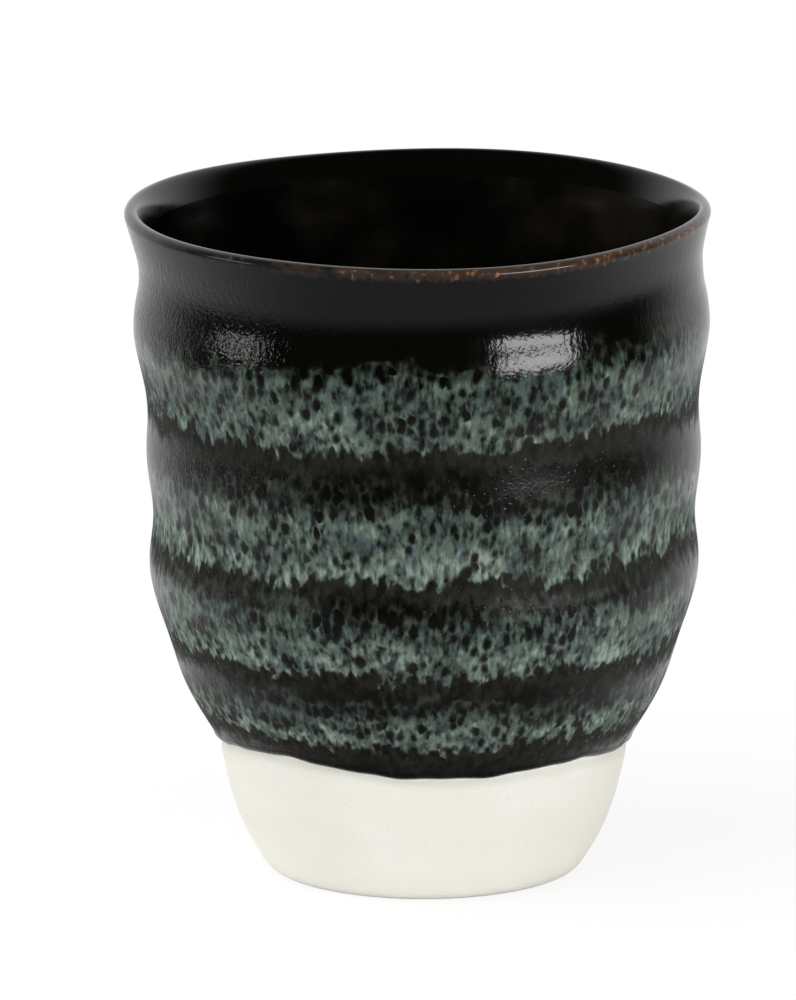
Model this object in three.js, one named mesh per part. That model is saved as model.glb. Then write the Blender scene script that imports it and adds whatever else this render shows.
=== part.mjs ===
// A hand-thrown tumbler: a ridged clay cup, bare at the foot, under a dark glaze with a paler band
// on each ridge. Millimetres, +Z up. The origin is the centre of the foot, and the front of the cup
// faces -Y.
import * as THREE from "three";

// Foot, left bare
const FOOT_RADIUS = 22;
const FOOT_RING_WIDTH = 4.5; // flat ring that the cup stands on
const FOOT_RECESS_DEPTH = 1; // hollow inside that ring
const FOOT_RECESS_BEVEL_WIDTH = 1; // slope between the ring and the hollow
const FOOT_BELLY_WIDTH = 5.6; // how far the bare wall swells out over the foot,
const FOOT_BELLY_HEIGHT = 5.8; // at this height

// Glazed wall, from the glaze line up. Each throwing ridge rises to its crest, then falls to the
// trough above it; the trough above the top ridge is the neck. Insets are measured in from the top
// ridge's crest.
const BARREL_RADIUS = 41.3; // crest of the top ridge
const GLAZE_LINE_HEIGHT = 20;
const GLAZE_LINE_INSET = 11.2;
const BOTTOM_CREST_HEIGHT = 7.8; // above the glaze line
const BOTTOM_CREST_INSET = 6.8;
const BOTTOM_TROUGH_HEIGHT = 5; // above the crest
const BOTTOM_TROUGH_INSET = 5.3;
const LOWER_CREST_HEIGHT = 11.4; // above the trough below
const LOWER_CREST_INSET = 1.9;
const LOWER_TROUGH_HEIGHT = 7.1;
const LOWER_TROUGH_INSET = 2.8;
const UPPER_CREST_HEIGHT = 9;
const UPPER_CREST_INSET = 1.5;
const UPPER_TROUGH_HEIGHT = 7.4;
const UPPER_TROUGH_INSET = 2;
const TOP_CREST_HEIGHT = 11.8;
const NECK_HEIGHT = 8.2; // above the top ridge's crest
const NECK_INSET = 1.2;

// Lip
const LIP_HEIGHT = 6.9; // from the neck to the widest line of the lip
const LIP_FLARE_WIDTH = 0.4; // how far the lip stands out past the top ridge
const LIP_THICKNESS = 2.6;
const LIP_CROWN_HEIGHT = 1.1; // from the widest line to the top
const RIM_DEPTH = 2.2; // how far the rim's coat reaches down both sides

// Wall and floor, with their coats
const WALL_THICKNESS = 4.2; // at the troughs
const NECK_THICKNESS = 3.2;
const FLOOR_HEIGHT = 6.2;
const FLOOR_CORNER_WIDTH = 9; // round corner between the wall and the flat of the floor

// Coats of glaze
const DARK_COAT_THICKNESS = 0.4; // under a band
const BAND_THICKNESS = 0.3; // in the middle of a band
const BOND_GAP = 0.1; // between two coats, or a coat and the clay
const BOTTOM_BAND_START = 4.6; // above the glaze line
const LOWER_BAND_START = 2.7; // above the trough below its ridge
const UPPER_BAND_START = -0.7; // this band starts just under its trough
const TOP_BAND_START = 1.7;
const BOTTOM_BAND_END = 3.8; // above the crest of its ridge
const LOWER_BAND_END = 1.8;
const UPPER_BAND_END = 2.3;
const TOP_BAND_END = 2.5;

// Unevenness left by the hand
const TILT_HEIGHT = 0.5; // how far the ridges and the rim lift on the right
const OVAL_WIDTH = 0.25;
const OVAL_TURN = Math.PI / 3;
const LEAN_WIDTH = 0.4; // how far the rim drifts to the left
const RIM_WAVE_HEIGHT = 0.15;
const RIM_WAVES = 3;

// Facets
const SEGMENTS = 40;
const BAND_STEPS = 4;
const DARK_STEPS = 2;
const NECK_STEPS = 3;
const RIM_STEPS = 2;
const LIP_STEPS = 6;
const FOOT_STEPS = 5;
const INNER_STEPS = 7;
const CORNER_STEPS = 4;

const COAT = DARK_COAT_THICKNESS + BAND_THICKNESS + BOND_GAP;

const CLAY = new THREE.MeshStandardMaterial({ color: 0xecebe1, roughness: 0.85, metalness: 0 });
const DARK_GLAZE = new THREE.MeshStandardMaterial({ color: 0x12110f, roughness: 0.2, metalness: 0 });
const RIM_GLAZE = new THREE.MeshStandardMaterial({ color: 0x4a3626, roughness: 0.3, metalness: 0 });
const BAND_GLAZE = new THREE.MeshStandardMaterial({ color: 0x6f827e, roughness: 0.25, metalness: 0 });

// Heights from first to last in equal steps, without the last one.
function heightsBetween(first, last, steps) {
  return Array.from({ length: steps }, (_, step) => THREE.MathUtils.lerp(first, last, step / steps));
}

// Smooth wall through knots of radius and height.
function wallThrough(knots) {
  const heights = knots.map((knot) => knot.y);
  const radii = knots.map((knot) => knot.x);
  const curve = new THREE.CubicInterpolant(heights, radii, 1);
  return (height) => new THREE.Vector2(curve.evaluate(height)[0], height);
}

// A path moved into the clay, square to itself. The air lies on its right.
function sunk(path, depthAt) {
  return path.map((point, index) => {
    const before = path[Math.max(index - 1, 0)];
    const after = path[Math.min(index + 1, path.length - 1)];
    const along = after.clone().sub(before).normalize();
    const depth = depthAt(index);
    return new THREE.Vector2(point.x - along.y * depth, point.y + along.x * depth);
  });
}

// Moves the turned surface as the thrower's hand did: the foot stays round and flat.
function throwUneven(geometry) {
  const position = geometry.attributes.position;
  for (let index = 0; index < position.count; index += 1) {
    const x = position.getX(index);
    const y = position.getY(index);
    const height = position.getZ(index);
    const radius = Math.hypot(x, y);
    const turn = Math.atan2(y, x);
    const lift = THREE.MathUtils.smoothstep(height, glazeLine.y, neck.y);
    const lean = THREE.MathUtils.smoothstep(height, middle, lipTop);
    const rimLift = THREE.MathUtils.smoothstep(height, neck.y, lipTop);
    const oval = OVAL_WIDTH * lift * Math.cos(2 * (turn - OVAL_TURN));
    const unevenRadius = radius + oval - LEAN_WIDTH * lean * Math.cos(turn);
    const wave = RIM_WAVE_HEIGHT * rimLift * Math.sin(RIM_WAVES * turn);
    const unevenHeight = height + TILT_HEIGHT * lift * Math.cos(turn) + wave;
    position.setXYZ(index, unevenRadius * Math.cos(turn), unevenRadius * Math.sin(turn), unevenHeight);
  }
}

// A piece turned on the wheel from a section that starts and ends on the axis, or closes on itself.
function turned(name, section, material) {
  const geometry = new THREE.LatheGeometry(section, SEGMENTS);
  geometry.rotateX(Math.PI / 2);
  throwUneven(geometry);
  const mesh = new THREE.Mesh(geometry, material);
  mesh.name = name;
  return mesh;
}

// A ring whose section runs up its outer side and back down its inner side.
function ring(name, outer, inner, material) {
  return turned(name, [...outer, ...inner.toReversed(), outer[0]], material);
}

// A point of the outer wall, raised above another one and set in from the barrel.
function wallPoint(below, rise, inset) {
  return new THREE.Vector2(BARREL_RADIUS - inset, below + rise);
}

// Outer wall: the glaze line, the crest and trough of each ridge, and the lip
const glazeLine = wallPoint(0, GLAZE_LINE_HEIGHT, GLAZE_LINE_INSET);
const bottomCrest = wallPoint(glazeLine.y, BOTTOM_CREST_HEIGHT, BOTTOM_CREST_INSET);
const bottomTrough = wallPoint(bottomCrest.y, BOTTOM_TROUGH_HEIGHT, BOTTOM_TROUGH_INSET);
const lowerCrest = wallPoint(bottomTrough.y, LOWER_CREST_HEIGHT, LOWER_CREST_INSET);
const lowerTrough = wallPoint(lowerCrest.y, LOWER_TROUGH_HEIGHT, LOWER_TROUGH_INSET);
const upperCrest = wallPoint(lowerTrough.y, UPPER_CREST_HEIGHT, UPPER_CREST_INSET);
const upperTrough = wallPoint(upperCrest.y, UPPER_TROUGH_HEIGHT, UPPER_TROUGH_INSET);
const topCrest = wallPoint(upperTrough.y, TOP_CREST_HEIGHT, 0);
const neck = wallPoint(topCrest.y, NECK_HEIGHT, NECK_INSET);
const lip = wallPoint(neck.y, LIP_HEIGHT, -LIP_FLARE_WIDTH);
const lipTop = lip.y + LIP_CROWN_HEIGHT;
const middle = (glazeLine.y + neck.y) / 2;
const outerWall = wallThrough([
  glazeLine, bottomCrest, bottomTrough, lowerCrest, lowerTrough,
  upperCrest, upperTrough, topCrest, neck, lip,
]);

// Inner wall: one thickness in from the troughs, so that it is smoother than the outside
function inside(point, thickness) {
  return new THREE.Vector2(point.x - thickness, point.y);
}
const innerWall = wallThrough([
  ...[glazeLine, bottomTrough, lowerTrough, upperTrough].map((point) => inside(point, WALL_THICKNESS)),
  inside(neck, NECK_THICKNESS),
  inside(lip, LIP_THICKNESS),
]);

// Bands of the second glaze, each from about the trough under its ridge to above its crest
const bands = [
  { name: "bottom_band", from: glazeLine.y + BOTTOM_BAND_START, to: bottomCrest.y + BOTTOM_BAND_END },
  { name: "lower_band", from: bottomTrough.y + LOWER_BAND_START, to: lowerCrest.y + LOWER_BAND_END },
  { name: "upper_band", from: lowerTrough.y + UPPER_BAND_START, to: upperCrest.y + UPPER_BAND_END },
  { name: "top_band", from: upperTrough.y + TOP_BAND_START, to: topCrest.y + TOP_BAND_END },
];

// Glazed skin: up the outside to the rim's joint, over the lip, and down the inside to the floor's middle
const joint = lip.y - RIM_DEPTH;
const outerHeights = [];
const bandDepth = [];
let level = glazeLine.y;
for (const band of bands) {
  outerHeights.push(...heightsBetween(level, band.from, DARK_STEPS));
  band.start = outerHeights.length;
  for (const height of heightsBetween(band.from, band.to, BAND_STEPS)) {
    const share = (height - band.from) / (band.to - band.from);
    bandDepth[outerHeights.length] = 4 * share * (1 - share);
    outerHeights.push(height);
  }
  level = band.to;
}
outerHeights.push(...heightsBetween(level, joint, NECK_STEPS), joint);
const outerSkin = outerHeights.map(outerWall);

const lipHalf = LIP_THICKNESS / 2;
const lipArc = new THREE.EllipseCurve(lip.x - lipHalf, lip.y, lipHalf, LIP_CROWN_HEIGHT, 0, Math.PI);
const rimHeights = heightsBetween(joint + BOND_GAP, lip.y, RIM_STEPS);
const rimSkin = [
  ...rimHeights.map(outerWall),
  ...lipArc.getPoints(LIP_STEPS),
  ...rimHeights.toReversed().map(innerWall),
];

const corner = new THREE.QuadraticBezierCurve(
  innerWall(glazeLine.y),
  new THREE.Vector2(FOOT_RADIUS, FLOOR_HEIGHT),
  new THREE.Vector2(FOOT_RADIUS - FLOOR_CORNER_WIDTH, FLOOR_HEIGHT),
);
const linerSkin = [
  ...heightsBetween(joint, glazeLine.y, INNER_STEPS).map(innerWall),
  ...corner.getPoints(CORNER_STEPS),
  new THREE.Vector2(0, FLOOR_HEIGHT),
];

// The clay and the undersides of the coats follow the whole skin, so that they fit each other
const skin = [...outerSkin, ...rimSkin, ...linerSkin];
const claySkin = sunk(skin, () => COAT);
const coatSkin = sunk(skin, () => COAT - BOND_GAP);
const pocketSkin = sunk(skin, (index) => (bandDepth[index] ?? 0) * (BAND_THICKNESS + BOND_GAP));
const bandSkin = sunk(skin, (index) => (bandDepth[index] ?? 0) * BAND_THICKNESS);

const rimStart = outerSkin.length;
const linerStart = rimStart + rimSkin.length;

const recessRadius = FOOT_RADIUS - FOOT_RING_WIDTH;
const bareWall = new THREE.QuadraticBezierCurve(
  new THREE.Vector2(FOOT_RADIUS, 0),
  new THREE.Vector2(FOOT_RADIUS + FOOT_BELLY_WIDTH, FOOT_BELLY_HEIGHT),
  claySkin[0],
);
const claySection = [
  new THREE.Vector2(0, FOOT_RECESS_DEPTH),
  new THREE.Vector2(recessRadius - FOOT_RECESS_BEVEL_WIDTH, FOOT_RECESS_DEPTH),
  new THREE.Vector2(recessRadius, 0),
  ...bareWall.getPoints(FOOT_STEPS),
  ...claySkin.slice(1),
];
const linerSection = [...coatSkin.slice(linerStart).toReversed(), ...skin.slice(linerStart)];

const tumbler = new THREE.Group();
tumbler.add(turned("clay_body", claySection, CLAY));
tumbler.add(ring("outer_glaze", pocketSkin.slice(0, rimStart), coatSkin.slice(0, rimStart), DARK_GLAZE));
tumbler.add(ring("rim_glaze", rimSkin, coatSkin.slice(rimStart, linerStart), RIM_GLAZE));
tumbler.add(turned("liner_glaze", linerSection, DARK_GLAZE));
for (const band of bands) {
  const end = band.start + BAND_STEPS;
  const outer = skin.slice(band.start, end + 1);
  const inner = bandSkin.slice(band.start + 1, end);
  tumbler.add(ring(band.name, outer, inner, BAND_GLAZE));
}

export default tumbler;
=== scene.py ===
import math
from collections import namedtuple

import bpy
import numpy as np
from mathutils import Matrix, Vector
from mathutils.bvhtree import BVHTree


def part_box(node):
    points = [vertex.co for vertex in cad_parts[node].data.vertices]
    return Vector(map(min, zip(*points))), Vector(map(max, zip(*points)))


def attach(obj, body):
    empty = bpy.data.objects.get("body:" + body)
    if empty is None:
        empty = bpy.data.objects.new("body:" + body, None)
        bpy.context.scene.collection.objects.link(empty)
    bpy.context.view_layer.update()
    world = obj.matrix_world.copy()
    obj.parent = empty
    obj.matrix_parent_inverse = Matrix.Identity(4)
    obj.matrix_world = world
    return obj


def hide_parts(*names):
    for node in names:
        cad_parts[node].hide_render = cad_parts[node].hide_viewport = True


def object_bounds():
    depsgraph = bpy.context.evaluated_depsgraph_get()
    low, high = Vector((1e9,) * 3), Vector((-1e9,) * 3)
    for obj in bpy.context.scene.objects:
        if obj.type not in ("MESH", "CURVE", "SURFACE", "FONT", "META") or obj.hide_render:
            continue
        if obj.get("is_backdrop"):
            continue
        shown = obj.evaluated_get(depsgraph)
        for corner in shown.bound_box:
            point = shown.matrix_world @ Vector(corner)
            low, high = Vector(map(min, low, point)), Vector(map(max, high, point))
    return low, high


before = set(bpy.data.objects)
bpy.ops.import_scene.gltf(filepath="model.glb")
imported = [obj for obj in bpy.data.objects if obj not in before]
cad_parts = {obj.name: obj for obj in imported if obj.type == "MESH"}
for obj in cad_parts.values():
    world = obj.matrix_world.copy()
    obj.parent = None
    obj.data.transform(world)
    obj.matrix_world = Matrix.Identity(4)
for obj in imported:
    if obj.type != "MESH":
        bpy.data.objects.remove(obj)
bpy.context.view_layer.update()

# A hand-thrown stoneware tumbler: a bare clay foot, a black glaze, and four bands of a milky
# green-blue glaze that ran over the throwing ridges. Metres, +Z up, the front towards -Y.
MM = 0.001

# How finely the surfaces are made
COLUMNS = 480  # points round the cup
FACETS = 40  # facet edges up the CAD walls, where the walls are read
FINE_ROW = 0.42 * MM  # between rows that show
COARSE_ROW = 2.5 * MM  # between rows that lie hidden under a glaze
BEAD_ROWS = 7  # round the bead along the glaze's lower edge
LIP_ROWS = 20  # on each side of the lip's crest
FOOT_ROWS = 8  # round the foot's outer edge
FLOOR_ROWS = 40  # from the foot of the inner wall to the axis
TABLE_STEP = 0.2 * MM  # between the heights at which a wall is read
WALL_BLUR = 0.9 * MM  # takes the CAD's facets out of a wall,
RIDGE_BLUR = 2 * MM  # and rounds the ridges below the shoulder
SHOULDER = 72 * MM
SHOULDER_FADE = 6 * MM  # height over which the one blur gives way to the other
UNDERSIDE_BLUR = 0.3 * MM
CAP_RADIUS = 0.6 * MM  # a surface that reaches the axis closes with a small disc
FAR = 0.2  # a start for rays, well outside the cup
BESIDE_TURN = 0.0003  # radians: a ray passes just beside a facet edge, so that it can't slip through,
BESIDE = 0.0001 * MM  # and so does an upright ray

# How the glazes lie on the clay
COAT_DEPTH = 0.8 * MM  # from the glaze's surface to the clay
BOND_GAP = 0.04 * MM
BAND_DEPTH = 0.3 * MM  # of a band at its middle; it runs out to nothing at its edges
LINER_DEPTH = 0.4 * MM
SINK_START = 2 * MM  # the clay starts to sink this far below the glaze's lower edge,
SINK_HEIGHT = 2.4 * MM  # and has sunk under the glaze over this height
CLAY_OVERLAP = 0.6 * MM  # the clay is finely made up to here above that edge

# The glaze's lower edge
EDGE_DROP = 0.1 * MM  # under the CAD's straight edge, on the mean
EDGE_TWO_LOBES = 0.65 * MM  # the edge wanders up and down round the cup: two lobes lift it,
EDGE_TWO_LOBES_TURN = math.radians(-29)  # one of them this far from the front, to the left,
EDGE_FOUR_LOBES = 0.75 * MM  # and four drop it, one of them at the front
Scallop = namedtuple("Scallop", "lobes share turn")
SCALLOP_SIZE = 0.1 * MM
SCALLOPS = (Scallop(9, 1, 1), Scallop(16, 1, 0), Scallop(29, 0.6, 2))
BEAD_HEIGHT = 1.1 * MM  # the glaze swells into a rounded bead along the edge
BEAD_SWELL = 0.25 * MM

# The lip and the inside under it
LIP_CROWN = 1.1 * MM
LIP_EDGE = 1.3 * MM  # width of the lip's outer rounding,
LIP_EDGE_RISE = 1.25 * MM  # and its height
LIP_SLANT = 0.25  # the outer rounding carries on along the flaring wall
LIP_ROUND = 4 * MM  # height of the broad inner rounding, below the lip line
LIP_FLARE = 0.05 * MM  # the lip turns out a little more than the CAD's,
LIP_LEAN = 0.5 * MM  # most of all on the left
NECK = 86 * MM
LIP_RISE = 0.3 * MM  # the lip stands higher than the CAD's,
LIP_RISE_FRONT = 0.65 * MM  # most at the front
LIP_RISE_LEFT = 0.35 * MM  # and on the left;
LIP_TWO_LOBES = 0.25 * MM  # it also wanders up and down: two lobes lift its sides,
LIP_THREE_LOBES = 0.25 * MM  # three drop it at the front,
LIP_FOUR_LOBES = 0.15 * MM  # and four drop it a little to the right of the front
INNER_FLARE = 0.255  # slope of the inside, straight from here up to the lip
INNER_FLARE_START = 79 * MM
INNER_FLARE_REACH = 8 * MM

# The foot, and the unevenness left by the thrower's hands
FOOT_ROUND = 1.6 * MM  # height of the rounding between the foot's flat ring and its wall
FOOT_INSET = 1.25 * FOOT_ROUND  # the flat ring ends this far inside the wall
FOOT_CORNER = 0.6 * FOOT_ROUND  # the rounding leaves the ring towards a point this far out
HAND_WAVE = 0.1 * MM
HAND_PITCH = 45 * MM
HAND_LOBES = range(2, 9)  # hollows round the cup
OUTSIDE_SEED = 5
OUTSIDE_FADE = 10 * MM  # above the glaze line, over which the unevenness grows outside,
INSIDE_SEED = 9
INSIDE_FADE = 20 * MM  # and inside

# The bands of milky glaze: how far in mm the milk starts and stops above the CAD's edges, the height
# over which it thins out upwards, and that of the faint flecks it leaves above
Milk = namedtuple("Milk", "start stop thinning flecks")
BANDS = {
    "bottom_band": Milk(0.3, 0.2, 6, 2),
    "lower_band": Milk(0.4, 0.4, 4.8, 4),
    "upper_band": Milk(-0.5, -0.6, 3.5, 6),
    "top_band": Milk(0.3, 0, 4.5, 1),
}
turns = np.arange(COLUMNS) * 2 * math.pi / COLUMNS
facet_turns = np.arange(FACETS) * 2 * math.pi / FACETS + BESIDE_TURN


# Soft steps and curves
def smooth(value):
    """A soft step from 0 to 1."""
    value = np.clip(value, 0, 1)
    return value * value * (3 - 2 * value)


def curve(part, start, corner, end):
    """A rounding that leaves its start towards a corner and reaches its end from there."""
    return (1 - part) ** 2 * start + 2 * part * (1 - part) * corner + part ** 2 * end


def blurred(values, step, width):
    """Values along the first axis, smoothed over a width; the ends carry on along their slope."""
    reach = int(3 * width / step)
    kernel = np.exp(-0.5 * (np.arange(-reach, reach + 1) * step / width) ** 2)
    kernel /= kernel.sum()
    before = 2 * values[:1] - values[reach:0:-1]
    after = 2 * values[-1:] - values[-2:-reach - 2:-1]
    padded = np.concatenate([before, values, after])
    return sum(weight * padded[i:i + len(values)] for i, weight in enumerate(kernel))


# Reading the CAD's walls
def node_points(name):
    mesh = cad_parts[name].data
    points = np.empty(len(mesh.vertices) * 3, dtype=np.float32)
    mesh.vertices.foreach_get("co", points)
    return points.reshape(-1, 3).astype(float)


def tree_of(names):
    """One search tree over the faces of some CAD nodes."""
    points = []
    faces = []
    for name in names:
        start = len(points)
        points += [Vector(point) for point in node_points(name)]
        faces += [[start + i for i in face.vertices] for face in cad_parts[name].data.polygons]
    return BVHTree.FromPolygons(points, faces)


def around(values):
    """Values at the CAD's facet edges, carried smoothly round to every column."""
    spectrum = np.fft.rfft(values, axis=-1)
    return np.fft.irfft(spectrum, COLUMNS, axis=-1) * COLUMNS / FACETS


def facet_span(name):
    """Lowest and highest point of a CAD node at every facet edge."""
    points = node_points(name)
    turn = np.arctan2(points[:, 1], points[:, 0])
    facet = np.round(turn / (2 * math.pi) * FACETS).astype(int) % FACETS
    low = np.full(FACETS, np.inf)
    high = np.full(FACETS, -np.inf)
    np.minimum.at(low, facet, points[:, 2])
    np.maximum.at(high, facet, points[:, 2])
    return low, high


def span(name):
    """Lowest and highest point of a CAD node at every column."""
    low, high = facet_span(name)
    return around(low), around(high)


class Wall:
    """A wall of the cup, from a level low line up to the slanting lip: its radius at every column."""

    def __init__(self, names, low, top, from_outside):
        self.low = low
        self.top = around(top)
        self.rows = int((top.max() - low) / TABLE_STEP)
        tree = tree_of(names)
        radii = np.empty((self.rows, FACETS))
        for i in range(self.rows):
            for j, turn in enumerate(facet_turns):
                out = Vector((math.cos(turn), math.sin(turn), 0))
                axis = Vector((0, 0, low + (top[j] - low) * i / (self.rows - 1)))
                start = axis + out * FAR if from_outside else axis
                hit = tree.ray_cast(start, -out if from_outside else out)[0]
                radii[i, j] = hit.xy.length
        heights = np.linspace(low, top.mean(), self.rows)[:, None]
        above = smooth((heights - SHOULDER) / SHOULDER_FADE)
        sharp = blurred(radii, TABLE_STEP, WALL_BLUR)
        soft = blurred(radii, TABLE_STEP, RIDGE_BLUR)
        self.table = around(soft + (sharp - soft) * above)

    def radius(self, height):
        place = (height - self.low) / (self.top - self.low) * (self.rows - 1)
        below = np.clip(place.astype(int), 0, self.rows - 2)
        part = place - below
        columns = np.arange(COLUMNS)
        return self.table[below, columns] * (1 - part) + self.table[below + 1, columns] * part


glaze_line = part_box("outer_glaze")[0].z
rim_joint, lip_top = span("rim_glaze")
lip_line = lip_top - LIP_CROWN
wall_top = facet_span("rim_glaze")[1] - LIP_CROWN
outer_wall = Wall(["clay_body", "outer_glaze", "rim_glaze", *BANDS], FOOT_ROUND, wall_top, True)
inner_wall = Wall(["liner_glaze", "rim_glaze"], glaze_line, wall_top, False)
inner_tree = tree_of(["liner_glaze"])
under_tree = tree_of(["clay_body"])
band_spans = [span(name) for name in BANDS]

front = turns + math.pi / 2  # angle from the cup's front, towards its right
edge_course = glaze_line - EDGE_DROP + EDGE_TWO_LOBES * np.cos(2 * (front - EDGE_TWO_LOBES_TURN))
edge_course -= EDGE_FOUR_LOBES * np.cos(4 * front)
scallops = sum(wave.share * np.sin(wave.lobes * front + wave.turn) for wave in SCALLOPS)
glaze_edge = edge_course + SCALLOP_SIZE * scallops


# The finished surfaces
def hand_wave(height, seed):
    """Shallow hollows and swellings round the cup and up it."""
    draw = np.random.default_rng(seed)
    total = 0
    for lobes in HAND_LOBES:
        phase = draw.uniform(0, 2 * math.pi)
        slant = draw.uniform(-1, 1) * 2 * math.pi / HAND_PITCH
        total = total + np.sin(lobes * turns + slant * height + phase) / math.sqrt(lobes)
    return total * HAND_WAVE / 2


def lip_turn(height):
    """How far the lip stands out past the CAD's."""
    return smooth((height - NECK) / (lip_line - NECK)) * (LIP_FLARE - LIP_LEAN * np.cos(turns))


def lip_rise(height):
    """How far the lip lies above the CAD's."""
    lift = LIP_RISE + LIP_RISE_FRONT * np.cos(front) - LIP_RISE_LEFT * np.sin(front)
    lift -= LIP_TWO_LOBES * np.cos(2 * front) + LIP_THREE_LOBES * np.cos(3 * front)
    lift -= LIP_FOUR_LOBES * np.sin(4 * front)
    return smooth((height - NECK) / (lip_line - NECK)) * lift


def skin(height):
    """Radius of the finished outside."""
    fade = smooth((height - glaze_line) / OUTSIDE_FADE)
    return outer_wall.radius(height) + fade * hand_wave(height, OUTSIDE_SEED) + lip_turn(height)


def clay(height):
    """Radius of the clay: bare below the glaze's edge and sunk under the glaze above it."""
    return skin(height) - COAT_DEPTH * smooth((height - edge_course + SINK_START) / SINK_HEIGHT)


def inside(height):
    """Radius of the finished inside."""
    wave = smooth((height - glaze_line) / INSIDE_FADE) * hand_wave(height, INSIDE_SEED)
    flare = inner_wall.radius(lip_line) - (lip_line - height) * INNER_FLARE
    share = smooth(1 + (height - INNER_FLARE_START) / INNER_FLARE_REACH)
    wall = inner_wall.radius(height)
    return wall + (flare - wall) * share + wave + lip_turn(height)


def lip_outside(part, shrink=0.0):
    """A point of the lip's outer rounding: part runs from 0 at the outer wall to 1 on the crest."""
    turn = part * math.pi / 2
    rise = (LIP_EDGE_RISE - shrink) * math.sin(turn)
    radius = skin(lip_line) - shrink - (LIP_EDGE - shrink) * (1 - math.cos(turn)) + LIP_SLANT * rise
    return radius, lip_line + rise


def inner_side(height):
    """Radius of the finished inside, with the lip's broad rounding from its crest down."""
    tall = LIP_ROUND + LIP_EDGE_RISE
    part = np.sqrt(np.clip((lip_line + LIP_EDGE_RISE - height) / tall, 0, 1))
    crest = lip_outside(1)[0]
    end = inside(lip_line - LIP_ROUND)
    rounding = curve(part, crest, end + INNER_FLARE * tall, end)
    return np.where(part < 1, rounding, inside(height))


def lip_core(depth):
    """The lip's outline under a coat of a depth, from outside over the crest to the inside."""
    inner = inner_side(lip_line) + depth
    return [lip_outside(0, depth), lip_outside(1, depth), (inner, lip_line)]


def floor_points(offset):
    """Points of the inside from the wall's foot in to the axis, each pushed down by an offset."""
    start = inside(np.full(COLUMNS, glaze_line)).mean()
    points = []
    for radius in np.linspace(start, CAP_RADIUS, FLOOR_ROWS)[1:]:
        hit = inner_tree.ray_cast(Vector((radius, BESIDE, glaze_line)), Vector((0, 0, -1)))[0]
        points.append((radius, hit.z - offset))
    return points


def underside(radius):
    """Height of the foot's underside."""
    hit = under_tree.ray_cast(Vector((radius, BESIDE, -FAR)), Vector((0, 0, 1)))[0]
    return hit.z


# Making a mesh from rows of points round the axis. A row's mark is a number that its material reads,
# and its share is how much room it takes on the bake's map, from 1 for a surface that shows to
# nearly 0 for one that lies hidden. A sharp row is a crease.
Row = namedtuple("Row", "radius height mark share sharp", defaults=(0.0, 1.0, False))
HIDDEN = 0.04
MAP_MARGIN = 0.003
MOST_STRIPS = 24
LEAST_LENGTH = 1e-6  # keeps rows that coincide apart on the map


def fold_map(points, rows, closed):
    """The bake's map: the cup's side is cut into strips, which lie one above another."""
    middle = points if not closed else np.concatenate([points, points[:1]])
    shares = np.array([row.share for row in rows])
    lengths = np.linalg.norm(np.diff(middle, axis=0), axis=2).mean(axis=1)
    lengths = np.maximum(lengths, LEAST_LENGTH) * shares[:len(lengths)]
    girth = 2 * math.pi * np.hypot(points[..., 0], points[..., 1]).max()
    wanted = math.sqrt(girth / lengths.sum())
    counts = [count for count in range(1, MOST_STRIPS + 1) if COLUMNS % count == 0]
    strips = min(counts, key=lambda count: abs(count - wanted))
    up = np.concatenate([[0], np.cumsum(lengths)]) / lengths.sum()
    width = COLUMNS // strips
    column = np.arange(COLUMNS)
    strip = column // width

    def across(part):
        return MAP_MARGIN + (1 - 2 * MAP_MARGIN) * part

    def upwards(part):
        return strip / strips + MAP_MARGIN + (1 / strips - 2 * MAP_MARGIN) * part

    left = across((column - strip * width) / width)
    right = across((column - strip * width + 1) / width)
    corners = np.empty((len(lengths), COLUMNS, 4, 2))
    for i in range(len(lengths)):
        low = upwards(up[i])
        high = upwards(up[i + 1])
        corners[i, :, :, 0] = np.stack([left, right, right, left], axis=1)
        corners[i, :, :, 1] = np.stack([low, low, high, high], axis=1)
    return corners.reshape(-1, 2)


def turned(name, rows, closed, mark="level"):
    """One closed piece from rows. A closed row list is a ring; an open one ends in two discs."""
    radius = np.array([np.broadcast_to(row.radius, COLUMNS) for row in rows])
    height = np.array([np.broadcast_to(row.height, COLUMNS) for row in rows])
    marks = np.array([np.broadcast_to(row.mark, COLUMNS) for row in rows])
    height = height + lip_rise(height)
    points = np.stack([radius * np.cos(turns), radius * np.sin(turns), height], axis=2)

    lower = np.arange(len(rows) if closed else len(rows) - 1)[:, None] * COLUMNS
    upper = (lower + COLUMNS) % (len(rows) * COLUMNS)
    here = np.arange(COLUMNS)[None, :]
    beside = (here + 1) % COLUMNS
    quads = np.stack([lower + here, lower + beside, upper + beside, upper + here], axis=2)
    faces = quads.reshape(-1, 4).tolist()
    if not closed:
        faces.append(list(range(COLUMNS - 1, -1, -1)))
        faces.append(list(range((len(rows) - 1) * COLUMNS, len(rows) * COLUMNS)))

    mesh = bpy.data.meshes.new(name)
    mesh.from_pydata(points.reshape(-1, 3).tolist(), [], faces)
    mesh.shade_smooth()
    bake_map = np.full((len(mesh.loops), 2), MAP_MARGIN)
    bake_map[:quads.size] = fold_map(points, rows, closed)
    mesh.uv_layers.new(name="OFBake").data.foreach_set("uv", bake_map.ravel())
    mesh.attributes.new(mark, "FLOAT", "POINT").data.foreach_set("value", marks.ravel())

    ends = np.empty(len(mesh.edges) * 2, dtype=np.int32)
    mesh.edges.foreach_get("vertices", ends)
    edge_rows = ends.reshape(-1, 2) // COLUMNS
    sharp_rows = np.array([row.sharp for row in rows])
    sharp = (edge_rows[:, 0] == edge_rows[:, 1]) & sharp_rows[edge_rows[:, 0]]
    mesh.attributes.new("sharp_edge", "BOOLEAN", "EDGE").data.foreach_set("value", sharp)
    piece = bpy.data.objects.new(name, mesh)
    bpy.context.scene.collection.objects.link(piece)
    return piece


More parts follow.
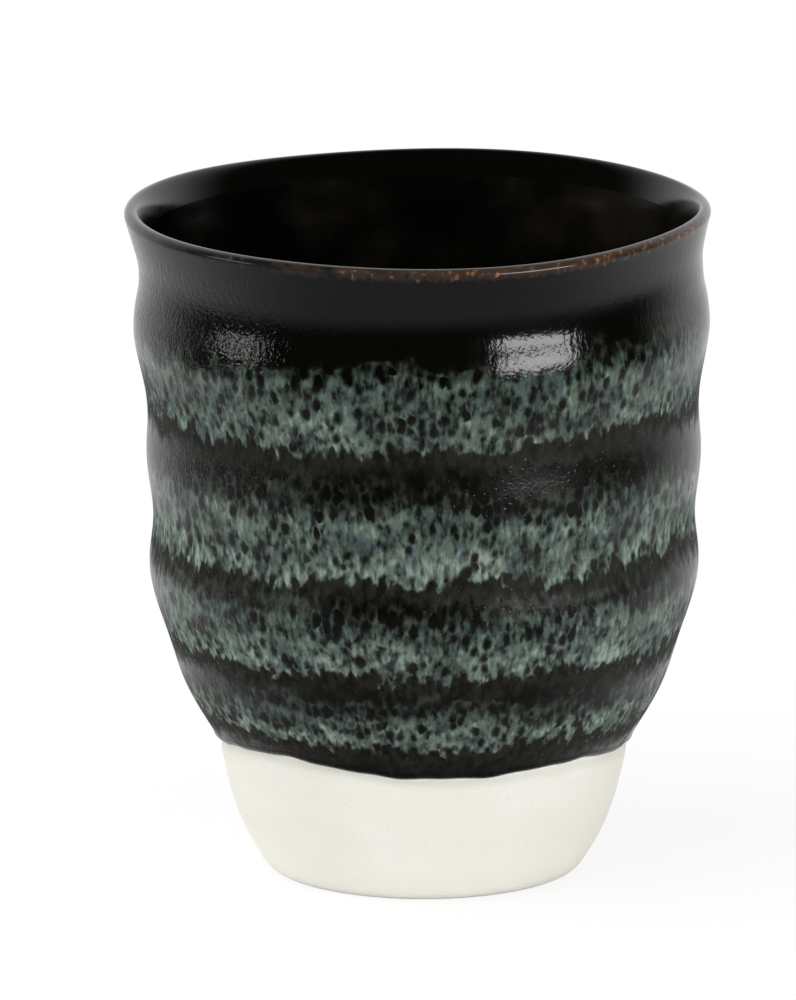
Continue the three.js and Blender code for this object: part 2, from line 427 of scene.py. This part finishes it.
def dress(piece, node, material):
    piece.data.materials.append(material)
    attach(piece, "root")
    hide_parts(node)


# The rows of each piece. They run up the outside and down the inside.
def steps(low, high, row_height):
    """How many rows lie between two heights."""
    return max(2, int(np.ceil(np.mean(np.abs(high - low)) / row_height)))


def lens(part):
    """Depth of a band's section, from 0 at its edges to 1 at its middle."""
    return 4 * part * (1 - part)


def creased(rows, index):
    """The rows, with a crease along one of them."""
    rows[index] = rows[index]._replace(sharp=True)
    return rows


def wall_rows(radius, start, end, count, share=1.0):
    """Rows from one height to another, with both ends; radius is a function of the height."""
    rows = []
    for i in range(count + 1):
        height = start + (end - start) * i / count
        rows.append(Row(radius(height), height, height.mean() / MM, share))
    return rows


def skin_rows(low, high, row_height, sink=0.0, share=1.0):
    """Rows on the outside from one height up to another, without the last; sink is a lens's depth."""
    count = steps(low, high, row_height)
    rows = []
    for i in range(count):
        part = i / count
        height = low + (high - low) * part
        rows.append(Row(skin(height) - sink * lens(part), height, height.mean() / MM, share))
    return creased(rows, 0)


def bead_rows():
    """The rounded bead along the glaze's lower edge, without its last row."""
    root = clay(glaze_edge)
    rows = []
    for i in range(BEAD_ROWS):
        turn = i / BEAD_ROWS * math.pi / 2
        height = glaze_edge + BEAD_HEIGHT * (1 - math.cos(turn))
        radius = root + (skin(height) - root) * math.sin(turn) + BEAD_SWELL * math.sin(2 * turn)
        rows.append(Row(radius, height, height.mean() / MM))
    return creased(rows, 0)


def outer_glaze_rows():
    rows = bead_rows()
    below = glaze_edge + BEAD_HEIGHT
    for low, high in band_spans:
        rows += skin_rows(below, low, FINE_ROW)
        rows += skin_rows(low, high, COARSE_ROW, BAND_DEPTH + BOND_GAP, HIDDEN)
        below = high
    rows += skin_rows(below, rim_joint, FINE_ROW)
    rows.append(Row(skin(rim_joint), rim_joint, rim_joint.mean() / MM, HIDDEN, True))
    count = steps(glaze_edge, rim_joint, COARSE_ROW)
    back = wall_rows(lambda height: clay(height) + BOND_GAP, rim_joint, glaze_edge, count, HIDDEN)
    return rows + creased(back[:-1], 0)


def band_rows(low, high):
    rows = skin_rows(low, high, FINE_ROW)
    rows.append(Row(skin(high), high, high.mean() / MM, HIDDEN, True))
    count = steps(low, high, COARSE_ROW)
    for i in range(1, count):
        part = i / count
        height = high + (low - high) * part
        rows.append(Row(skin(height) - BAND_DEPTH * lens(part), height, height.mean() / MM, HIDDEN))
    return rows


def rim_rows():
    """The lip's coat. Its mark is -1 at the lip's outer wall, 0 on the crest and 1 at its inner end."""
    rows = []
    for row in skin_rows(rim_joint, lip_line, FINE_ROW):
        rows.append(row._replace(mark=-1 - (lip_line.mean() - row.height.mean()) / MM))
    for i in range(LIP_ROWS + 1):
        part = i / LIP_ROWS
        rows.append(Row(*lip_outside(part), part - 1))
    crest = lip_line + LIP_EDGE_RISE
    for i in range(1, LIP_ROWS + 1):
        part = i / LIP_ROWS
        height = crest + (rim_joint - crest) * part ** 2
        rows.append(Row(inner_side(height), height, part))
    creased(rows, -1)
    rows.append(Row(inner_side(rim_joint) + LINER_DEPTH, rim_joint, 1.0, HIDDEN, True))
    rows += [Row(*point, 1.0, HIDDEN) for point in reversed(lip_core(COAT_DEPTH))]
    rows.append(Row(clay(rim_joint) + BOND_GAP, rim_joint, 1.0, HIDDEN, True))
    return rows


def liner_rows():
    rows = [Row(*point, 0.0, HIDDEN) for point in reversed(floor_points(LINER_DEPTH))]
    count = steps(glaze_line, rim_joint, COARSE_ROW)
    back = wall_rows(lambda height: inner_side(height) + LINER_DEPTH, glaze_line, rim_joint, count, HIDDEN)
    rows += creased(back, -1)
    count = steps(glaze_line, rim_joint, 2 * FINE_ROW)
    rows += creased(wall_rows(inner_side, rim_joint, glaze_line, count), 0)
    rows += [Row(radius, height, height / MM) for radius, height in floor_points(0)]
    return rows


def foot_rows(wall_foot):
    """The underside from the axis out to the foot's flat ring, and its rounding up to the wall's foot."""
    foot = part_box("clay_body")[0].z
    flat = wall_foot.mean() - FOOT_INSET
    radii = np.arange(CAP_RADIUS, flat, FINE_ROW)
    heights = blurred(np.array([underside(radius) for radius in radii]), FINE_ROW, UNDERSIDE_BLUR)
    rows = [Row(radius, max(height, foot)) for radius, height in zip(radii, heights)]
    for i in range(1, FOOT_ROWS):
        part = i / FOOT_ROWS
        rise = FOOT_ROUND * part ** 2
        rows.append(Row(curve(part, flat, flat + FOOT_CORNER, wall_foot), foot + rise, rise / MM))
    return rows


def clay_rows():
    low = np.full(COLUMNS, FOOT_ROUND)
    rows = foot_rows(clay(low))
    cover = glaze_edge + CLAY_OVERLAP
    rows += wall_rows(clay, low, cover, steps(low, glaze_edge, FINE_ROW))
    rows += wall_rows(clay, cover, rim_joint, steps(cover, rim_joint, COARSE_ROW), HIDDEN)[1:]
    rows += [Row(*point, 0.0, HIDDEN) for point in lip_core(COAT_DEPTH + BOND_GAP)]
    sink = LINER_DEPTH + BOND_GAP
    count = steps(glaze_line, rim_joint, COARSE_ROW)
    rows += wall_rows(lambda height: inner_side(height) + sink, rim_joint, glaze_line, count, HIDDEN)
    rows += [Row(*point, 0.0, HIDDEN) for point in floor_points(sink)]
    return rows


# Materials
class Shader:
    """A material's node tree, with a short word for each kind of node."""

    def __init__(self, name):
        self.material = bpy.data.materials.new(name)
        self.material.use_nodes = True
        self.tree = self.material.node_tree
        self.surface = self.tree.nodes["Principled BSDF"]
        coordinates = self.tree.nodes.new("ShaderNodeTexCoord").outputs["Object"]
        self.place = self.vector("MULTIPLY", coordinates, (1 / MM, 1 / MM, 1 / MM))

    def node(self, kind, inputs, **settings):
        node = self.tree.nodes.new(kind)
        for name, value in settings.items():
            setattr(node, name, value)
        for name, value in inputs.items():
            self.give(node.inputs[name], value)
        return node

    def give(self, socket, value):
        if isinstance(value, bpy.types.NodeSocket):
            self.tree.links.new(value, socket)
        else:
            socket.default_value = value

    def set(self, **values):
        """Gives values to the surface's sockets, which are named with underscores for spaces."""
        for name, value in values.items():
            self.give(self.surface.inputs[name.replace("_", " ")], value)

    def vector(self, operation, *values):
        inputs = dict(enumerate(values))
        return self.node("ShaderNodeVectorMath", inputs, operation=operation).outputs[0]

    def math(self, operation, *values):
        return self.node("ShaderNodeMath", dict(enumerate(values)), operation=operation).outputs[0]

    def total(self, first, *others):
        for value in others:
            first = self.math("ADD", first, value)
        return first

    def product(self, first, *others):
        for value in others:
            first = self.math("MULTIPLY", first, value)
        return first

    def highest(self, first, second):
        return self.math("MAXIMUM", first, second)

    def rest(self, value):
        """What a value from 0 to 1 leaves of 1."""
        return self.math("SUBTRACT", 1, value)

    def attribute(self, name):
        return self.node("ShaderNodeAttribute", {}, attribute_name=name).outputs["Fac"]

    def towards(self, axis, place):
        """One part of a place or direction: X is to the cup's right and Y is backwards."""
        return self.node("ShaderNodeSeparateXYZ", {0: place}).outputs[axis]

    def stretched(self, tall):
        """Places in millimetres, drawn out so that a pattern is that many times taller than wide."""
        return self.vector("MULTIPLY", self.place, (1, 1, 1 / tall))

    def noise(self, size, tall=1.0, detail=2.0, roughness=0.5):
        """Noise from 0 to 1 whose features are about a size in millimetres."""
        inputs = {"Vector": self.stretched(tall), "Scale": 1 / size, "Detail": detail,
                  "Roughness": roughness}
        return self.node("ShaderNodeTexNoise", inputs).outputs["Fac"]

    def warp(self, size, reach):
        """Later patterns are pulled out of shape by up to half a reach; all in millimetres."""
        inputs = {"Vector": self.place, "Scale": 1 / size, "Detail": 2.0}
        direction = self.node("ShaderNodeTexNoise", inputs).outputs["Color"]
        shift = self.vector("SUBTRACT", direction, (0.5, 0.5, 0.5))
        shift = self.vector("MULTIPLY", shift, (reach, reach, reach))
        self.place = self.vector("ADD", self.place, shift)

    def centred(self, value, reach):
        """A value from 0 to 1 as a shift of up to half a reach either way."""
        return self.math("MULTIPLY", self.math("SUBTRACT", value, 0.5), reach)

    def cells(self, size, tall=1.0):
        """Distance from the nearest of many scattered points, in parts of a size, and its chance."""
        inputs = {"Vector": self.stretched(tall), "Scale": 1 / size}
        outputs = self.node("ShaderNodeTexVoronoi", inputs).outputs
        chance = self.node("ShaderNodeSeparateColor", {0: outputs["Color"]}).outputs[0]
        return outputs["Distance"], chance

    def between(self, value, low, high, start=0.0, end=1.0):
        """A soft step from start to end as a value goes from low to high."""
        inputs = {"Value": value, "From Min": low, "From Max": high, "To Min": start, "To Max": end}
        return self.node("ShaderNodeMapRange", inputs, interpolation_type="SMOOTHSTEP").outputs[0]

    def mixed(self, part, first, second):
        inputs = {0: part, 6: first, 7: second}
        return self.node("ShaderNodeMix", inputs, data_type="RGBA").outputs[2]

    def bump(self, height, depth, under=None):
        """A relief of a depth in millimetres for a height from 0 to 1."""
        inputs = {"Height": height, "Distance": depth * MM, "Strength": 1.0}
        if under is not None:
            inputs["Normal"] = under
        return self.node("ShaderNodeBump", inputs).outputs["Normal"]


def colour(red, green, blue):
    """A colour written as its 0 to 255 screen values, in linear light."""
    parts = [value / 255 for value in (red, green, blue)]
    return tuple(p / 12.92 if p <= 0.04045 else ((p + 0.055) / 1.055) ** 2.4 for p in parts) + (1,)


BLACK_GLAZE = colour(4, 4, 2)
# The neck's charcoal is a painted reflection of the floor, which the neck's flare faces down towards
NECK_PAINTED_REFLECTION = colour(21, 21, 21)
BROWN_GLAZE = colour(28, 28, 18)
MILKY_DARK = colour(38, 44, 38)
MILKY_GREEN = colour(82, 97, 86)
MILKY_BLUE = colour(68, 83, 82)
MILKY_PALE = colour(136, 153, 140)
THIN_GLAZE = colour(52, 43, 36)
RUST = colour(92, 58, 38)
RUST_PALE = colour(142, 98, 66)
CLAY_WHITE = colour(235, 234, 226)
CLAY_WARM = colour(233, 229, 217)
CLAY_GREY = colour(229, 229, 223)
# Painted light: the foot's clay is made lighter against the shade that falls near the floor
CLAY_FOOT_PAINTED_LIGHT = colour(244, 242, 233)
CLAY_SPECK = colour(205, 198, 182)
LINER_BLACK = colour(4, 4, 3)
# The liner's brown is its own where it runs thin, and painted light where it lifts the dark inside low in
# the cup
LINER_BROWN_AND_PAINTED_LIGHT = colour(34, 31, 25)
GLAZE_IOR = 1.38
LINER_IOR = 1.18
CLAY_IOR = 1.45

# Where a band's milk, and the brown glaze below and above it, come and go. From here on, sizes and
# heights in materials are in mm, as the marks are.
MILK_FRINGE = 0.9  # either way of the milk's start
MILK_TAIL = 1  # past the milk's stop
FLECK_COVER = 0.29
POOL_START = 0.5  # the milk is palest up to here above its start,
POOL_STOP = 6  # and no longer so from here on
BROWN_START = 4.5  # the brown glaze begins this far below the milk,
BROWN_FULL = 1  # is full here below it,
BROWN_STOP = 8  # and ends this far up in it
NET_START = 3  # the brown net above a band begins this far below the milk's stop,
NET_REACH = 1.5  # and ends above it at this many times the flecks' height

# Sizes of the milky glaze's patterns, and how far they shift its edges
WANDER_SIZE = 18
WANDER_REACH = 6.5
TEETH_SIZE = 1.4
TEETH_REACH = 6
CLOUD_SIZE = 6
CLOUD_REACH = 8.5
STREAK_SIZE = 0.7
GAP_SIZE = 1
SPOT_SIZE = 1.5
HUE_SIZE = 3
WARP_SIZE = 1
WARP_REACH = 0.6

# The glaze's relief: brush marks, pits, and a fine unevenness that is stronger on the left
BRUSH_SIZE = 0.8
BRUSH_DEPTH = 0.04
PIT_SIZE = 0.9
PIT_DEPTH = 0.045
PEEL_SIZE = 0.5
PEEL_DEPTH = 0.02
PEEL_LEFT = 4  # times as deep on the left,
PEEL_LEFT_END = -32  # from here to the left on

# Heights between which a look changes
PALE_HEIGHTS = (50, 78)  # the milk is a little paler below these
GLOSS_HEIGHTS = (70, 82)  # the outer glaze is glossier above these,
PAINTED_REFLECTION_HEIGHTS = (86.4, 89.4)  # and turns here from black to the neck's charcoal, a painted reflection of the floor
PAINTED_LIGHT_LINER_HEIGHTS = (58, 76)  # the liner is painted lighter and browner below these, as painted light low in the dark cup
PAINTED_LIGHT_FOOT_HEIGHTS = (0, 11)  # the clay is painted lighter towards the foot: painted light against the shade near the floor


def band_fields(paint, fringe, crest):
    """The milk's cover, its pool at the lower edge, and the brown glaze below and above it."""
    fields = None
    for (low, high), milk in zip(band_spans, BANDS.values()):
        low = low.mean() / MM + milk.start
        high = high.mean() / MM + milk.stop
        start = paint.between(fringe, low - MILK_FRINGE, low + MILK_FRINGE)
        thinning = paint.between(crest, high - milk.thinning, high + MILK_TAIL, 1, 0)
        flecks = paint.between(crest, high, high + milk.flecks, FLECK_COVER, 0)
        pool = paint.between(fringe, low + POOL_START, low + POOL_STOP, 1, 0)
        brown_rise = paint.between(fringe, low - BROWN_START, low - BROWN_FULL)
        brown_fall = paint.between(fringe, low, low + BROWN_STOP, 1, 0)
        net_rise = paint.between(crest, high - NET_START, high)
        net_fall = paint.between(crest, high, high + NET_REACH * milk.flecks, 1, 0)
        cover = paint.highest(thinning, flecks)
        pairs = ((start, cover), (start, pool), (brown_rise, brown_fall), (net_rise, net_fall))
        band = [paint.product(*pair) for pair in pairs]
        if fields is not None:
            band = [paint.highest(*pair) for pair in zip(fields, band)]
        fields = band
    return fields


def glaze_gloss(paint, level, under):
    """Glossy over the neck and shoulder; further down a little softer, with small pits that sparkle,
    and nearly matt between the pits where the brown glaze lies thick under a band."""
    upper = paint.between(level, *GLOSS_HEIGHTS)
    brush = paint.product(paint.noise(BRUSH_SIZE, tall=2.5), paint.between(upper, 0, 1, 0.5, 1))
    distance, chance = paint.cells(PIT_SIZE)
    pits = paint.product(paint.between(distance, 0.04, 0.26, 1, 0), paint.between(chance, 0.2, 0.7))
    pits = paint.product(pits, paint.between(upper, 0, 1, 1, 0))
    matt = paint.product(under, paint.between(pits, 0, 0.3, 1, 0))
    roughness = paint.math("MULTIPLY_ADD", matt, 0.5, paint.between(upper, 0, 1, 0.22, 0.13))
    paint.set(Roughness=roughness, IOR=GLAZE_IOR)
    left = paint.between(paint.towards("X", paint.place), PEEL_LEFT_END, 0, PEEL_LEFT, 1)
    peel = paint.product(paint.noise(PEEL_SIZE, detail=1), left)
    relief = paint.bump(peel, PEEL_DEPTH, paint.bump(brush, BRUSH_DEPTH))
    paint.set(Normal=paint.bump(pits, -PIT_DEPTH, relief))


def reactive_glaze():
    """Black glaze, with milky green and blue where it ran over the ridges, speckled by dark spots."""
    paint = Shader("reactive glaze")
    level = paint.attribute("level")
    wander = paint.centred(paint.noise(WANDER_SIZE), WANDER_REACH)
    teeth = paint.centred(paint.noise(TEETH_SIZE, tall=2.2), TEETH_REACH)
    clouds = paint.noise(CLOUD_SIZE, tall=0.7, detail=3)
    streaks = paint.noise(STREAK_SIZE, tall=2.6)
    gaps = paint.noise(GAP_SIZE, tall=1.9)
    paint.warp(WARP_SIZE, WARP_REACH)

    fringe = paint.total(level, wander, teeth)
    crest = paint.total(paint.math("SUBTRACT", level, wander), paint.centred(clouds, CLOUD_REACH))
    cover, pool, under, above = band_fields(paint, fringe, crest)

    # Gaps and round dark spots, which grow where the cover is thin until they leave only a net
    bare = paint.rest(cover)
    gap_limit = paint.total(paint.product(bare, 0.1), paint.product(clouds, -0.35))
    open_gaps = paint.between(paint.math("SUBTRACT", gaps, gap_limit), 0.42, 0.78)
    distance, chance = paint.cells(SPOT_SIZE, tall=1.5)
    spot_size = paint.total(paint.product(bare, 0.24), paint.math("MULTIPLY_ADD", chance, 0.5, -0.2))
    spots = paint.between(paint.math("SUBTRACT", distance, spot_size), 0.02, 0.48)
    milk = paint.product(open_gaps, spots, paint.between(cover, 0, 0.8))

    # The milk's colour runs from dark through green or blue to pale
    tone = paint.total(paint.product(streaks, 0.44), paint.product(clouds, 0.41), paint.product(pool, 0.06))
    tone = paint.total(tone, paint.between(level, *PALE_HEIGHTS, 0.02, -0.015))
    hue = paint.between(paint.noise(HUE_SIZE, tall=1.5, detail=3), 0.44, 0.62)
    green_blue = paint.mixed(hue, MILKY_GREEN, MILKY_BLUE)
    milky = paint.mixed(paint.between(tone, 0.28, 0.44), MILKY_DARK, green_blue)
    milky = paint.mixed(paint.between(tone, 0.44, 0.66), milky, MILKY_PALE)

    # The dark glaze is brown where it lies thick under a band, and in a net above it
    thick = paint.product(under, paint.between(gaps, 0.34, 0.6, 0.1, 1))
    netted = paint.product(above, spots, paint.between(gaps, 0.3, 0.65, 0.3, 0.9))
    # Painted reflection: towards the neck the black turns charcoal, for the floor that the neck mirrors
    black = paint.mixed(paint.between(level, *PAINTED_REFLECTION_HEIGHTS), BLACK_GLAZE, NECK_PAINTED_REFLECTION)
    dark = paint.mixed(paint.highest(thick, netted), black, BROWN_GLAZE)
    paint.set(Base_Color=paint.mixed(milk, dark, milky))
    glaze_gloss(paint, level, under)
    return paint.material


def rim_glaze():
    """Black glaze that ran thin over the lip's outer edge and broke there to brown and rust."""
    paint = Shader("rim glaze")
    across = paint.attribute("across")
    patches = paint.noise(3, detail=3, roughness=0.6)
    grain = paint.noise(0.7, tall=1.5)
    stretches = paint.noise(14)
    drips = paint.total(across, paint.centred(paint.noise(0.8, tall=2.5), 1.6))
    edge = paint.product(paint.between(drips, -1.7, -0.6), paint.between(across, -0.5, -0.1, 1, 0))
    right = paint.between(paint.towards("X", paint.place), -30, 30, -0.08, 0.06)
    worn = paint.total(paint.product(patches, 0.5), paint.product(stretches, 0.5), right)
    thin = paint.product(edge, paint.between(worn, 0.38, 0.52))
    breaks = paint.total(paint.product(worn, 0.6), paint.product(grain, 0.4))
    breaks = paint.product(edge, paint.between(breaks, 0.52, 0.66))
    rust = paint.mixed(paint.between(grain, 0.54, 0.72), RUST, RUST_PALE)
    # Painted reflection: down the lip's outer wall the black turns charcoal, as on the neck
    black = paint.mixed(paint.between(across, -0.7, -0.1, 1, 0), BLACK_GLAZE, NECK_PAINTED_REFLECTION)
    paint.set(Base_Color=paint.mixed(breaks, paint.mixed(thin, black, THIN_GLAZE), rust))
    paint.set(Roughness=paint.between(grain, 0.3, 0.7, 0.12, 0.18), IOR=GLAZE_IOR)
    paint.set(Normal=paint.bump(paint.noise(0.9, tall=1.8), 0.006))
    return paint.material


def liner_glaze():
    """Plain glossy black, a little browner where it is thin, with painted light low in the cup: lighter and
    browner there so that its floor shows.
    """
    paint = Shader("liner glaze")
    pools = paint.noise(14, detail=3)
    # Painted light: low in the cup the liner is lifted towards brown, so that the dark inside shows its
    # floor
    painted_light_low = paint.between(paint.attribute("level"), *PAINTED_LIGHT_LINER_HEIGHTS, 1, 0)
    brown = paint.highest(paint.between(pools, 0.45, 0.75, 0, 0.5), paint.product(painted_light_low, pools))
    paint.set(Base_Color=paint.mixed(brown, LINER_BLACK, LINER_BROWN_AND_PAINTED_LIGHT))
    paint.set(Roughness=paint.between(pools, 0.3, 0.7, 0.12, 0.18), IOR=LINER_IOR)
    paint.set(Normal=paint.bump(paint.noise(2.2), 0.01))
    return paint.material


def bare_clay():
    """Matt white stoneware with faint warm and grey clouds, fine grain and throwing marks, and painted
    light: lighter towards the foot, against the shade near the floor.
    """
    paint = Shader("bare clay")
    clouds = paint.noise(16, tall=0.6, detail=3)
    grain = paint.noise(0.45, detail=3, roughness=0.6)
    rings = paint.noise(1.3, tall=0.06)
    warm = paint.mixed(paint.between(clouds, 0.35, 0.65), CLAY_WHITE, CLAY_WARM)
    specks = paint.between(paint.cells(2.1)[0], 0.03, 0.09, 0.5, 0)
    grained = paint.mixed(paint.between(grain, 0.5, 0.8), warm, CLAY_GREY)
    painted_light_foot = paint.mixed(paint.between(paint.attribute("level"), *PAINTED_LIGHT_FOOT_HEIGHTS, 1, 0), grained, CLAY_FOOT_PAINTED_LIGHT)
    paint.set(Base_Color=paint.mixed(specks, painted_light_foot, CLAY_SPECK))
    paint.set(Roughness=paint.between(grain, 0.3, 0.7, 0.62, 0.8), IOR=CLAY_IOR)
    paint.set(Normal=paint.bump(rings, 0.05, paint.bump(grain, 0.03)))
    return paint.material


# The pieces
glaze = reactive_glaze()
dress(turned("clay_cup", clay_rows(), False), "clay_body", bare_clay())
dress(turned("dark_glaze_coat", outer_glaze_rows(), True), "outer_glaze", glaze)
for band_name, band_span in zip(BANDS, band_spans):
    dress(turned(band_name + "_glaze", band_rows(*band_span), True), band_name, glaze)
dress(turned("rim_glaze_coat", rim_rows(), True, "across"), "rim_glaze", rim_glaze())
dress(turned("liner_glaze_coat", liner_rows(), False), "liner_glaze", liner_glaze())


# Floor, light and camera
FLOOR_SIZE = 1.5
FLOOR_WHITE = 0.92
FLOOR_GLOW = 0.85  # share of the floor's own white, the rest is lit and keeps the shadow
FLOOR_PLAIN = (100, 300)  # mm from the cup, over which the floor as seen turns all white
FLOOR_STUDIO = (180, 500)  # mm from the cup, over which the floor as mirrored turns into the studio
FLOOR_FRONT_GLOW = 0.22  # the floor as mirrored glows less in front of the cup,
FLOOR_FRONT_END = 0.3  # up to this part of a direction backwards
STUDIO_FRONT = 0.05  # the studio is dark in front of the cup, up to this part of a direction backwards,
STUDIO_BACK = 0.7  # and white from here on
STUDIO_DARK = 0.03
LAMP_DISTANCE = 1.2
FILL_DISTANCE = 1.5
CAMERA_AIM = Vector((-3.7, 0, 53.2)) * MM
CAMERA_OFFSET = Vector((0, -3000, 731)) * MM  # from there to the lens
CAMERA_SENSOR = 36
PICTURE_HEIGHT = 142.6 * MM  # what the picture shows at the cup, from bottom to top
WHITE = (1, 1, 1, 1)


def pale_floor():
    """White where it is seen or mirrored, but lit, so that it keeps the cup's shadow."""
    paint = Shader("pale floor")
    distance = paint.node("ShaderNodeVectorMath", {0: paint.place}, operation="LENGTH").outputs["Value"]
    backwards = paint.towards("Y", paint.vector("NORMALIZE", paint.place))
    near = paint.between(backwards, -1, FLOOR_FRONT_END, FLOOR_FRONT_GLOW, 1)
    near = paint.product(near, paint.between(distance, *FLOOR_STUDIO, 1, 0))
    far = paint.between(backwards, STUDIO_FRONT, STUDIO_BACK, STUDIO_DARK, 1)
    far = paint.product(far, paint.between(distance, *FLOOR_STUDIO))
    mirrored = paint.product(paint.total(near, far), FLOOR_GLOW)
    path = paint.node("ShaderNodeLightPath", {}).outputs
    other = paint.highest(path["Is Glossy Ray"], path["Is Transmission Ray"])
    straight = paint.product(path["Is Camera Ray"], paint.between(distance, *FLOOR_PLAIN, FLOOR_GLOW, 1))
    glow = paint.highest(straight, paint.product(other, mirrored))
    lit = paint.rest(paint.highest(straight, other))
    paint.set(Base_Color=paint.product(lit, FLOOR_WHITE), Roughness=1.0, Specular_IOR_Level=0.0)
    paint.set(Emission_Color=WHITE, Emission_Strength=glow)
    return paint.material


def make_floor():
    """A pale floor under the cup, which runs out into the studio around it."""
    half = FLOOR_SIZE / 2
    mesh = bpy.data.meshes.new("floor")
    corners = [(-half, -half, 0), (half, -half, 0), (half, half, 0), (-half, half, 0)]
    mesh.from_pydata(corners, [], [(0, 1, 2, 3)])
    mesh.materials.append(pale_floor())
    floor = bpy.data.objects.new("floor", mesh)
    bpy.context.scene.collection.objects.link(floor)
    floor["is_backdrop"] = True


def make_world():
    """A white background behind and beside the cup, and a dark studio in front of it."""
    world = bpy.data.worlds.new("studio")
    bpy.context.scene.world = world
    world.use_nodes = True
    tree = world.node_tree
    background = tree.nodes["Background"]
    place = tree.nodes.new("ShaderNodeTexCoord")
    split = tree.nodes.new("ShaderNodeSeparateXYZ")
    tree.links.new(place.outputs["Generated"], split.inputs[0])
    behind = tree.nodes.new("ShaderNodeMapRange")
    behind.interpolation_type = "SMOOTHSTEP"
    behind.inputs["From Min"].default_value = STUDIO_FRONT
    behind.inputs["From Max"].default_value = STUDIO_BACK
    behind.inputs["To Min"].default_value = STUDIO_DARK
    tree.links.new(split.outputs["Y"], behind.inputs["Value"])
    path = tree.nodes.new("ShaderNodeLightPath")
    level = tree.nodes.new("ShaderNodeMath")
    level.operation = "MAXIMUM"
    tree.links.new(path.outputs["Is Camera Ray"], level.inputs[0])
    tree.links.new(behind.outputs[0], level.inputs[1])
    tree.links.new(level.outputs[0], background.inputs["Strength"])
    background.inputs["Color"].default_value = WHITE


def make_lamp(name, azimuth, elevation, width, height, radiance, fill=False):
    """A softbox. Azimuth is from the cup's front towards its right, and both angles are in degrees.
    A fill lamp stands further off and doesn't show in the glaze."""
    lamp = bpy.data.lights.new(name, "AREA")
    lamp.shape = "RECTANGLE"
    lamp.size = width
    lamp.size_y = height
    lamp.energy = radiance * math.pi * width * height
    spin = math.radians(azimuth)
    tilt = math.radians(elevation)
    aim = Vector((0, 0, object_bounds()[1].z / 2))
    way = Vector((math.sin(spin) * math.cos(tilt), -math.cos(spin) * math.cos(tilt), math.sin(tilt)))
    softbox = bpy.data.objects.new(name, lamp)
    softbox.location = aim + way * (FILL_DISTANCE if fill else LAMP_DISTANCE)
    softbox.rotation_euler = way.to_track_quat("Z", "Y").to_euler()
    softbox.visible_camera = False
    softbox.visible_glossy = not fill
    bpy.context.scene.collection.objects.link(softbox)


def make_camera():
    """A long lens from in front and a little above, as the photograph was taken."""
    camera = bpy.data.cameras.new("camera")
    camera.sensor_width = CAMERA_SENSOR
    camera.lens = CAMERA_SENSOR * CAMERA_OFFSET.length / PICTURE_HEIGHT
    eye = bpy.data.objects.new("camera", camera)
    eye.location = CAMERA_AIM + CAMERA_OFFSET
    eye.rotation_euler = CAMERA_OFFSET.to_track_quat("Z", "Y").to_euler()
    bpy.context.scene.collection.objects.link(eye)
    bpy.context.scene.camera = eye


make_floor()
make_world()
make_lamp("right_softbox", azimuth=47, elevation=5.5, width=0.62, height=0.23, radiance=13.5)
make_lamp("left_softbox", azimuth=-77, elevation=5.2, width=0.45, height=0.15, radiance=5)
make_lamp("top_softbox", azimuth=0, elevation=72, width=1.6, height=1.6, radiance=2.1, fill=True)
make_lamp("high_softbox", azimuth=-68, elevation=46, width=1.6, height=1.3, radiance=2.6, fill=True)
make_camera()
bpy.context.scene.view_settings.view_transform = "Standard"
